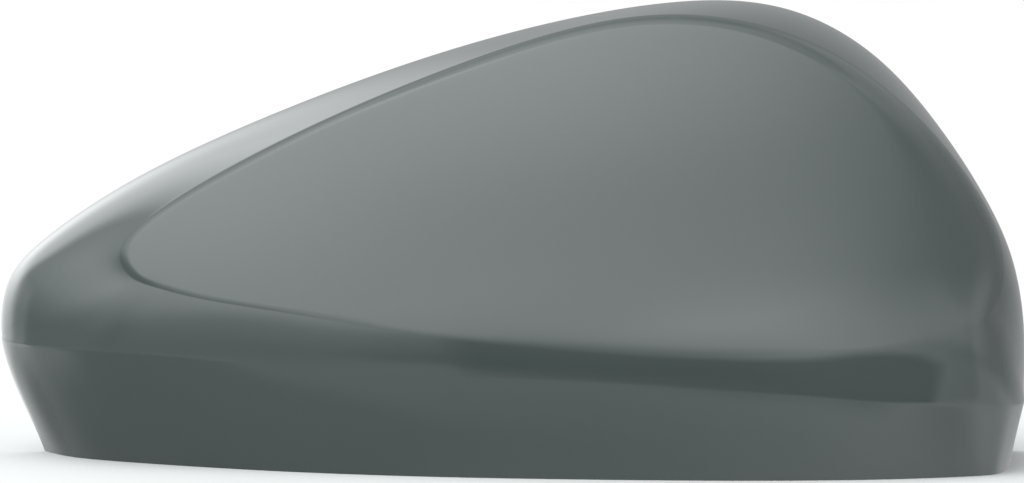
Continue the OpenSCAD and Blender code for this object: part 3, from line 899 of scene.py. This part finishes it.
# %% Geometry Nodes that set copies on places
def copies_on_places_group():
    group = bpy.data.node_groups.new("copies_on_places", "GeometryNodeTree")
    group.interface.new_socket("Places", in_out="INPUT", socket_type="NodeSocketGeometry")
    group.interface.new_socket("Pattern", in_out="INPUT", socket_type="NodeSocketObject")
    width = group.interface.new_socket("Width", in_out="INPUT", socket_type="NodeSocketFloat")
    width.default_value = 1.0
    group.interface.new_socket("Material", in_out="INPUT", socket_type="NodeSocketMaterial")
    group.interface.new_socket("Copies", in_out="OUTPUT", socket_type="NodeSocketGeometry")
    nodes, link = group.nodes, group.links.new
    source, result = nodes.new("NodeGroupInput"), nodes.new("NodeGroupOutput")
    pattern = nodes.new("GeometryNodeObjectInfo")
    link(source.outputs["Pattern"], pattern.inputs["Object"])
    turn = nodes.new("GeometryNodeInputNamedAttribute")
    turn.data_type = "FLOAT"
    turn.inputs["Name"].default_value = "turn"
    around = nodes.new("ShaderNodeCombineXYZ")
    link(turn.outputs["Attribute"], around.inputs["Y"])
    rotation = nodes.new("FunctionNodeEulerToRotation")
    link(around.outputs["Vector"], rotation.inputs["Euler"])
    size = nodes.new("ShaderNodeCombineXYZ")
    size.inputs["X"].default_value = size.inputs["Y"].default_value = 1.0
    link(source.outputs["Width"], size.inputs["Z"])
    copies = nodes.new("GeometryNodeInstanceOnPoints")
    link(source.outputs["Places"], copies.inputs["Points"])
    link(pattern.outputs["Geometry"], copies.inputs["Instance"])
    link(rotation.outputs["Rotation"], copies.inputs["Rotation"])
    link(size.outputs["Vector"], copies.inputs["Scale"])
    real = nodes.new("GeometryNodeRealizeInstances")
    link(copies.outputs["Instances"], real.inputs["Geometry"])
    paint = nodes.new("GeometryNodeSetMaterial")
    link(real.outputs["Geometry"], paint.inputs["Geometry"])
    link(source.outputs["Material"], paint.inputs["Material"])
    link(paint.outputs["Geometry"], result.inputs["Copies"])
    return group


COPIES_ON_PLACES = copies_on_places_group()
SOCKETS = {item.name: item.identifier for item in COPIES_ON_PLACES.interface.items_tree}
print("inputs:", sorted(SOCKETS))


# %% Snap hooks
HOOK_PLACES = [14.7, 17.3, 20.3, 22.6, 24.8]
HOOK_WIDTH, HOOK_THICKNESS, HOOK_GAP, HOOK_ROOT = 10.0, 1.7, 2.6, 3.5
HOOK_ROOT_SETBACK, HOOK_END_GAP = 50.0, 1.0
BARB_HEIGHT, BARB_LENGTH, CATCH_SLOPE, BARB_NOSE = 1.9, 7.0, 2.0, 0.2


def hook_outline(run):
    near = WALL + HOOK_GAP
    far = near + HOOK_THICKNESS
    return [(BURIED, 0), (far, 0), (far, run - BARB_LENGTH),
            (far + BARB_HEIGHT, run - BARB_LENGTH + CATCH_SLOPE), (far + BARB_NOSE, run), (near, run),
            (near, HOOK_ROOT), (BURIED, HOOK_ROOT)]


def snap_hooks():
    spots, turns = [], []
    for t in HOOK_PLACES:
        spots.append(flank_at(t, depth_on_flank(t, HOOK_ROOT_SETBACK)))
        inward = inward_at(t, 1.0)
        turns.append(math.atan2(-inward[2], inward[0]))
    body = bmesh.new()
    run = REAR - spots[0][1] - HOOK_END_GAP
    add_plate(body, hook_outline(run), np.zeros(3), np.array([1.0, 0.0, 0.0]), 1.0)
    pattern = make_object("hook_pattern", mesh_of("hook_pattern", body))
    places = bpy.data.meshes.new("snap_hooks")
    places.from_pydata([tuple(spot * MM) for spot in spots], [], [])
    places.attributes.new("turn", "FLOAT", "POINT").data.foreach_set("value", turns)
    hooks = make_object("snap_hooks", places)
    setter = hooks.modifiers.new("copies", "NODES")
    setter.node_group = COPIES_ON_PLACES
    setter[SOCKETS["Pattern"]] = pattern
    setter[SOCKETS["Width"]] = HOOK_WIDTH
    setter[SOCKETS["Material"]] = MOULDING
    plain_mesh(hooks)
    bpy.data.objects.remove(pattern)
    finish_piece(hooks)


snap_hooks()


# %% [markdown]
# ## Ribs and tabs
# A gusset rib fills the corner between face and flank and follows both. A tab is a flat tongue
# that starts on the curved skirt and ends square.

# %% Gusset ribs
RIB_PLACES = [19.5, 21.1, 21.8, 23.4, 24.0]
RIB_THICKNESS, RIB_REACH, RIB_EDGE = 1.6, 17.0, 1.0
RIB_START = 0.6 * WALL
RIB_FLANK_STEPS = (0.3, 0.5)


def gusset_ribs():
    body = bmesh.new()
    for t in RIB_PLACES:
        at, inward = flank_at(t, 0.0), inward_at(t, 0.0)
        outline = []
        for d in (RIB_REACH, RIB_REACH / 2, RIB_START):
            x, _, z = at + d * inward
            outline.append((d, float(face_depth(x, z)) - at[1] + BURIED))
        for v in RIB_FLANK_STEPS:
            offset = flank_at(t, v) - at
            outline.append((offset @ inward + BURIED, offset[1]))
        toe = outline[-1]
        outline += [(toe[0] + WALL + RIB_EDGE, toe[1]), (RIB_REACH, outline[0][1] + WALL + RIB_EDGE)]
        add_plate(body, outline, at, inward, RIB_THICKNESS)
    finish_piece(make_object("gusset_ribs", mesh_of("gusset_ribs", body)))


gusset_ribs()


# %% Locating tabs
TAB_PLACES = [3.6, 6.5, 9.4]
TAB_HEIGHT, TAB_THICKNESS, TAB_REACH = 6.0, 2.0, 9.0
# stations from the middle of a tab to its sides, and the points of its root
TAB_HALF_WIDTH = 0.22
TAB_STEPS = (-1, -0.5, 0, 0.5, 1)


def skirt_at(t, height):
    t = np.array([t])
    handles = flank_handles(t)
    top = bezier(*handles, flank_end(t, handles))
    foot = np.array([[*skirt_row(t)[0, :2], 0.0]])
    share = 1 - height / seat(top)[0, 2]
    return seat(top + share * (foot - top))[0]


def locating_tabs():
    body = bmesh.new()
    for t in TAB_PLACES:
        run = seat(skirt_row(np.array([t + SKIRT_STEP]))) - seat(skirt_row(np.array([t - SKIRT_STEP])))
        outward = unit(np.array([run[0, 1], -run[0, 0]]))
        root = [skirt_at(t + k * TAB_HALF_WIDTH, TAB_HEIGHT)[:2] - BURIED * outward for k in TAB_STEPS]
        end = root[len(root) // 2][1] + WALL + TAB_REACH
        outline = root + [(root[-1][0], end), (root[0][0], end)]
        levels = (TAB_HEIGHT - TAB_THICKNESS / 2, TAB_HEIGHT + TAB_THICKNESS / 2)
        add_loops(body, [[(x, y, z) for x, y in outline] for z in levels])
    finish_piece(make_object("locating_tabs", mesh_of("locating_tabs", body)))


locating_tabs()


# %% [markdown]
# ## Pegs
# Each peg is turned: a tapered boss that grows out of the face, a round shank, and a chamfered
# tip. Four fins brace the boss on the face.

# %% Turned forms
SIDES = 48


def add_turned(body, x, z, base_radius, rings):
    """Adds a closed turned form that starts on the face and passes through (radius, y) rings."""
    turn = 2 * np.pi * np.arange(SIDES) / SIDES
    way_x, way_z = np.cos(turn), np.sin(turn)
    base_y = face_depth(x + base_radius * way_x, z + base_radius * way_z) + BURIED
    loops = []
    for radius, y in [(base_radius, base_y)] + rings:
        loops.append(np.stack([x + radius * way_x, 0 * turn + y, z + radius * way_z], axis=-1))
    add_loops(body, loops)


print("turned forms have", SIDES, "sides")

# %% Pegs with bosses and fins
# x and z of each peg on the drawn face
PEGS = {"inner_peg": (-36.0, 52.0), "outer_peg": (60.0, 60.0)}
PEG_RADIUS, PEG_LENGTH, PEG_SETBACK, PEG_CHAMFER = 3.0, 12.0, 14.0, 0.6
BOSS_RADIUS, BOSS_TOP_RADIUS = 5.5, 4.4
FIN_TURNS = np.radians([45, 135, 225, 315])
FIN_REACH, FIN_DROP, FIN_SHOULDER, FIN_THICKNESS = 5.0, 3.0, 0.6, 1.6


def locating_peg(name, drawn_place):
    x, _, z = seat(on_face(*np.array(drawn_place)))
    tip = REAR - PEG_SETBACK
    foot = tip - PEG_LENGTH
    body = bmesh.new()
    add_turned(body, x, z, BOSS_RADIUS, [
        (BOSS_TOP_RADIUS, foot), (PEG_RADIUS, foot), (PEG_RADIUS, tip - PEG_CHAMFER),
        (PEG_RADIUS - PEG_CHAMFER, tip)])
    reach = BOSS_RADIUS + FIN_REACH
    for turn in FIN_TURNS:
        out = np.array([math.cos(turn), 0.0, math.sin(turn)])
        outline = []
        for d in (0, reach / 2, reach):
            outline.append((d, float(face_depth(x + d * out[0], z + d * out[2])) + BURIED))
        outline += [(reach, outline[-1][1] + WALL), (PEG_RADIUS + FIN_SHOULDER, foot - FIN_DROP),
                    (0, foot - FIN_DROP)]
        add_plate(body, outline, np.array([x, 0.0, z]), out, FIN_THICKNESS)
    finish_piece(make_object(name, mesh_of(name, body)))


for peg_name, peg_place in PEGS.items():
    locating_peg(peg_name, peg_place)

# %% [markdown]
# ## Studio
# Gloss paint shows the room more than its own colour, so the room is built with care. It is a
# plain soft studio: one broad soft light to the upper left, a lit backdrop behind, pale walls and
# floor on the right, a low light over the camera, and darker things where the camera stands. The
# world shader holds all of it as soft shapes placed by direction, which lights the cover and is
# reflected by it in one go.

# %% The world and an eased edge
world = bpy.data.worlds.new("soft_studio")
bpy.context.scene.world = world
world.use_nodes = True
sky = world.node_tree


def eased(tree, value, edge):
    """Smooth step of value / edge from 0 to 1."""
    node = tree.nodes.new("ShaderNodeMapRange")
    node.interpolation_type = "SMOOTHSTEP"
    tree.links.new(math_node(tree, "DIVIDE", value, edge), node.inputs["Value"])
    return node.outputs["Result"]


print("world", world.name)

# %% Shader group for a soft window
# inputs that say where a window is, in degrees, and how far it climbs for each degree to the right
WINDOW_SOCKETS = {
    "Centre Azimuth": 0.0, "Centre Elevation": 0.0, "Half Width": 20.0, "Half Height": 20.0,
    "Side Edge": 10.0, "Top Edge": 10.0, "Tilt": 0.0,
}


def soft_window_group():
    """A soft-edged window in the studio: how much of it lies in a direction."""
    sockets = {"Azimuth": 0.0, "Elevation": 0.0, **WINDOW_SOCKETS}
    group, source, result = new_group(
        "soft_window",
        [(title, "NodeSocketFloat", value) for title, value in sockets.items()],
        [("Mask", "NodeSocketFloat")])
    given = source.outputs
    turn = math_node(group, "SUBTRACT", given["Azimuth"], given["Centre Azimuth"])
    turn = math_node(group, "WRAP", turn, 180.0, -180.0)
    climb = math_node(group, "SUBTRACT", given["Elevation"], given["Centre Elevation"])
    climb = math_node(group, "SUBTRACT", climb, math_node(group, "MULTIPLY", given["Tilt"], turn))
    masks = []
    for offset, half, edge in ((turn, "Half Width", "Side Edge"), (climb, "Half Height", "Top Edge")):
        room = math_node(group, "SUBTRACT", given[half], math_node(group, "ABSOLUTE", offset))
        room = math_node(group, "ADD", room, math_node(group, "MULTIPLY", given[edge], 0.5))
        masks.append(eased(group, room, given[edge]))
    group.links.new(math_node(group, "MULTIPLY", *masks), result.inputs["Mask"])
    return group


SOFT_WINDOW = soft_window_group()
print("group", SOFT_WINDOW.name)

# %% [markdown]
# ## Lights by direction
# Azimuth 0 is the camera's side and grows to the camera's right, and elevation is above the
# horizon, both in degrees. A glow is round and falls off with the angle from its middle, like a
# large soft box seen from close by. Windows and cards come after the glows, in the order of the
# list: a positive strength adds light, and a negative one takes that share of it away. Where they
# stand follows from the reflections in the photograph: they were fitted to those, rounded and
# moved, and each name says what such a light could be.

# %% Glows, windows and cards
AMBIENT = 0.45
# name, azimuth and elevation of the middle, width, strength
GLOWS = [
    ("large soft box", -60, 56, 41, 2.35),
    ("its spill on the ceiling", -20, 60, 24, 0.8),
    ("its spill below", -55, 28, 17, 0.85),
]
# name, azimuth and elevation of the middle, half width and height, side and top edge, tilt,
# strength
WINDOWS = [
    ("lit backdrop", -158, 17, 13, 13, 14, 15, 0.0, 0.9),
    ("lower backdrop", -145, -5, 28, 17, 12, 12, 0.0, 0.6),
    ("pale wall on the right", 98, 62, 55, 25, 30, 15, -0.35, 0.35),
    ("corner behind that wall", 150, 12, 30, 20, 25, 15, 0.0, -0.2),
    ("low light over the camera", -11, 17, 29, 6, 47, 30, 0.2, 1.25),
    ("long strip to its right", 50, 15, 48, 5, 45, 8, -0.05, 0.55),
    ("pale floor", 82, -16, 80, 20, 60, 14, -0.15, 0.4),
    ("palest floor at the far right", 92, -28, 28, 8, 30, 12, 0.0, 0.25),
    ("dim left side", -95, 2, 42, 10, 13, 20, 0.0, -0.55),
    ("curtain beside the camera", -38, 0, 24, 11, 42, 12, 0.4, -0.4),
    ("dark stand of the camera", 5.5, -4, 30.5, 13.5, 5, 5, -0.15, -0.75),
    ("its softer right side", 50, -3, 14, 16, 12, 8, 0.0, -0.3),
    ("shade over the stand", -14, 4, 20, 12, 20, 6, 0.0, -0.55),
    ("ceiling above the soft box", 0, 84, 180, 24, 10, 8, 0.0, -0.3),
    ("low lamp on the left", -110, -25, 20, 9, 22, 14, -0.2, 0.5),
    ("front of the table", 4, -59, 180, 31, 10, 6, -0.1, -0.3),
]
print("lights and cards:", ", ".join(name for name, *_ in GLOWS + WINDOWS))

# %% Masks by direction
direction = sky.nodes.new("ShaderNodeTexCoord").outputs["Generated"]
split = sky.nodes.new("ShaderNodeSeparateXYZ")
sky.links.new(direction, split.inputs[0])
towards_camera = math_node(sky, "MULTIPLY", split.outputs["Y"], -1.0)
azimuth = math_node(sky, "DEGREES", math_node(sky, "ARCTAN2", split.outputs["X"], towards_camera))
elevation = math_node(sky, "DEGREES", math_node(sky, "ARCSINE", split.outputs["Z"]))


def glow_mask(name, turn, climb, width):
    turn, climb = math.radians(turn), math.radians(climb)
    toward = (math.sin(turn) * math.cos(climb), -math.cos(turn) * math.cos(climb), math.sin(climb))
    dot = sky.nodes.new("ShaderNodeVectorMath")
    dot.label = name
    dot.operation = "DOT_PRODUCT"
    sky.links.new(direction, dot.inputs[0])
    dot.inputs[1].default_value = toward
    angle = math_node(sky, "DEGREES", math_node(sky, "ARCCOSINE", dot.outputs["Value"]))
    fall = math_node(sky, "POWER", math_node(sky, "DIVIDE", angle, width), 2.0)
    return math_node(sky, "EXPONENT", math_node(sky, "MULTIPLY", fall, -1.0))


def window_mask(name, values):
    node = sky.nodes.new("ShaderNodeGroup")
    node.label = name
    node.node_tree = SOFT_WINDOW
    sky.links.new(azimuth, node.inputs["Azimuth"])
    sky.links.new(elevation, node.inputs["Elevation"])
    for title, value in zip(WINDOW_SOCKETS, values):
        node.inputs[title].default_value = value
    return node.outputs["Mask"]


print("directions come from", direction.name, "coordinates")

# %% Add up the light
brightness = AMBIENT
for name, turn, climb, width, strength in GLOWS:
    mask = glow_mask(name, turn, climb, width)
    brightness = math_node(sky, "MULTIPLY_ADD", mask, strength, brightness)
for name, *values, strength in WINDOWS:
    mask = window_mask(name, values)
    if strength > 0:
        brightness = math_node(sky, "MULTIPLY_ADD", mask, strength, brightness)
    else:
        kept = math_node(sky, "MULTIPLY_ADD", mask, strength, 1.0)
        brightness = math_node(sky, "MULTIPLY", brightness, kept)
print(len(GLOWS), "glows,", len(WINDOWS), "windows and cards")

# %% [markdown]
# ## Background and floor
# The picture's background is plain white. The camera alone sees the world as white of strength
# one, so the white adds no light to the cover. The floor is a pale table whose edge fades out
# where nobody looks at it, and it keeps the cover's shadow.

# %% White background
STUDIO_TINT = (0.97, 1.0, 1.0, 1.0)
WHITE = (1.0, 1.0, 1.0, 1.0)
background = sky.nodes["Background"]
sky.links.new(brightness, background.inputs["Strength"])
background.inputs["Color"].default_value = STUDIO_TINT
white = sky.nodes.new("ShaderNodeBackground")
white.inputs["Color"].default_value = WHITE
white.inputs["Strength"].default_value = 1.0
light_path = sky.nodes.new("ShaderNodeLightPath")
choice = sky.nodes.new("ShaderNodeMixShader")
sky.links.new(light_path.outputs["Is Camera Ray"], choice.inputs["Fac"])
sky.links.new(background.outputs[0], choice.inputs[1])
sky.links.new(white.outputs[0], choice.inputs[2])
sky.links.new(choice.outputs[0], sky.nodes["World Output"].inputs["Surface"])
bpy.context.scene.view_settings.view_transform = "Standard"
print("the camera sees the world as", WHITE[:3])

# %% Pale floor
FLOOR_COLOUR = (0.84, 0.84, 0.84, 1.0)
FLOOR_FADE_FROM, FLOOR_FADE_TO = 0.35, 0.8
HALF_FLOOR = 1.0
floor_mesh = bpy.data.meshes.new("studio_floor")
corners = [(-1, -1), (1, -1), (1, 1), (-1, 1)]
floor_mesh.from_pydata([(x * HALF_FLOOR, y * HALF_FLOOR, 0.0) for x, y in corners], [], [(0, 1, 2, 3)])
floor_material = bpy.data.materials.new("pale_floor")
floor_material.use_nodes = True
tree = floor_material.node_tree
surface = tree.nodes["Principled BSDF"]
surface.inputs["Base Color"].default_value = FLOOR_COLOUR
surface.inputs["Roughness"].default_value = 0.8
surface.inputs["Specular IOR Level"].default_value = 0.1
spot = tree.nodes.new("ShaderNodeTexCoord").outputs["Object"]
distance = tree.nodes.new("ShaderNodeVectorMath")
distance.operation = "LENGTH"
tree.links.new(spot, distance.inputs[0])
fade = tree.nodes.new("ShaderNodeMapRange")
fade.interpolation_type = "SMOOTHSTEP"
fade.inputs["From Min"].default_value = FLOOR_FADE_FROM
fade.inputs["From Max"].default_value = FLOOR_FADE_TO
tree.links.new(distance.outputs["Value"], fade.inputs["Value"])
clear = tree.nodes.new("ShaderNodeBsdfTransparent")
blend = tree.nodes.new("ShaderNodeMixShader")
tree.links.new(fade.outputs["Result"], blend.inputs["Fac"])
tree.links.new(surface.outputs[0], blend.inputs[1])
tree.links.new(clear.outputs[0], blend.inputs[2])
tree.links.new(blend.outputs[0], tree.nodes["Material Output"].inputs["Surface"])
floor_mesh.materials.append(floor_material)
floor = make_object("studio_floor", floor_mesh)
floor.visible_glossy = False
print("floor fades between", FLOOR_FADE_FROM, "and", FLOOR_FADE_TO, "m")
